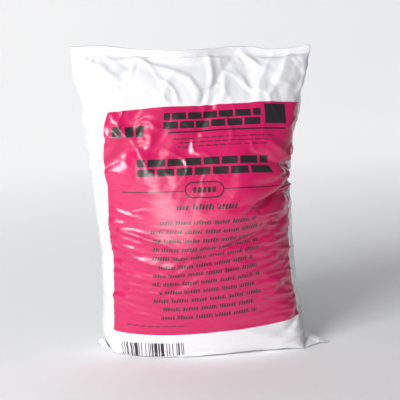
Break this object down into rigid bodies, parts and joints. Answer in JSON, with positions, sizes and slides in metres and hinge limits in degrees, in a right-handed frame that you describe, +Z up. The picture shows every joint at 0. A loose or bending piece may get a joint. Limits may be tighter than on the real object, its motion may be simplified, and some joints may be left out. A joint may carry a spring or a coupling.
{
  "type": "cement bag",
  "caption": "Small pillow bag of printed plastic film, filled with cement powder and standing on its base, with a crumpled empty head and a flat welded top edge.",
  "frame": {"origin": "middle of the base, on the surface that the bag stands on", "axes": "+Z up towards the welded top edge, -Y out of the printed face, +X to the right as one faces the print"},
  "size_m": [0.2344, 0.1, 0.2884],
  "materials": {
    "film": "glossy white polyethylene film with a magenta printed panel",
    "cement": "dry grey powder"
  },
  "bodies": {
    "root": {"film_bag": "film", "cement_powder": "cement"}
  },
  "joints": []
}
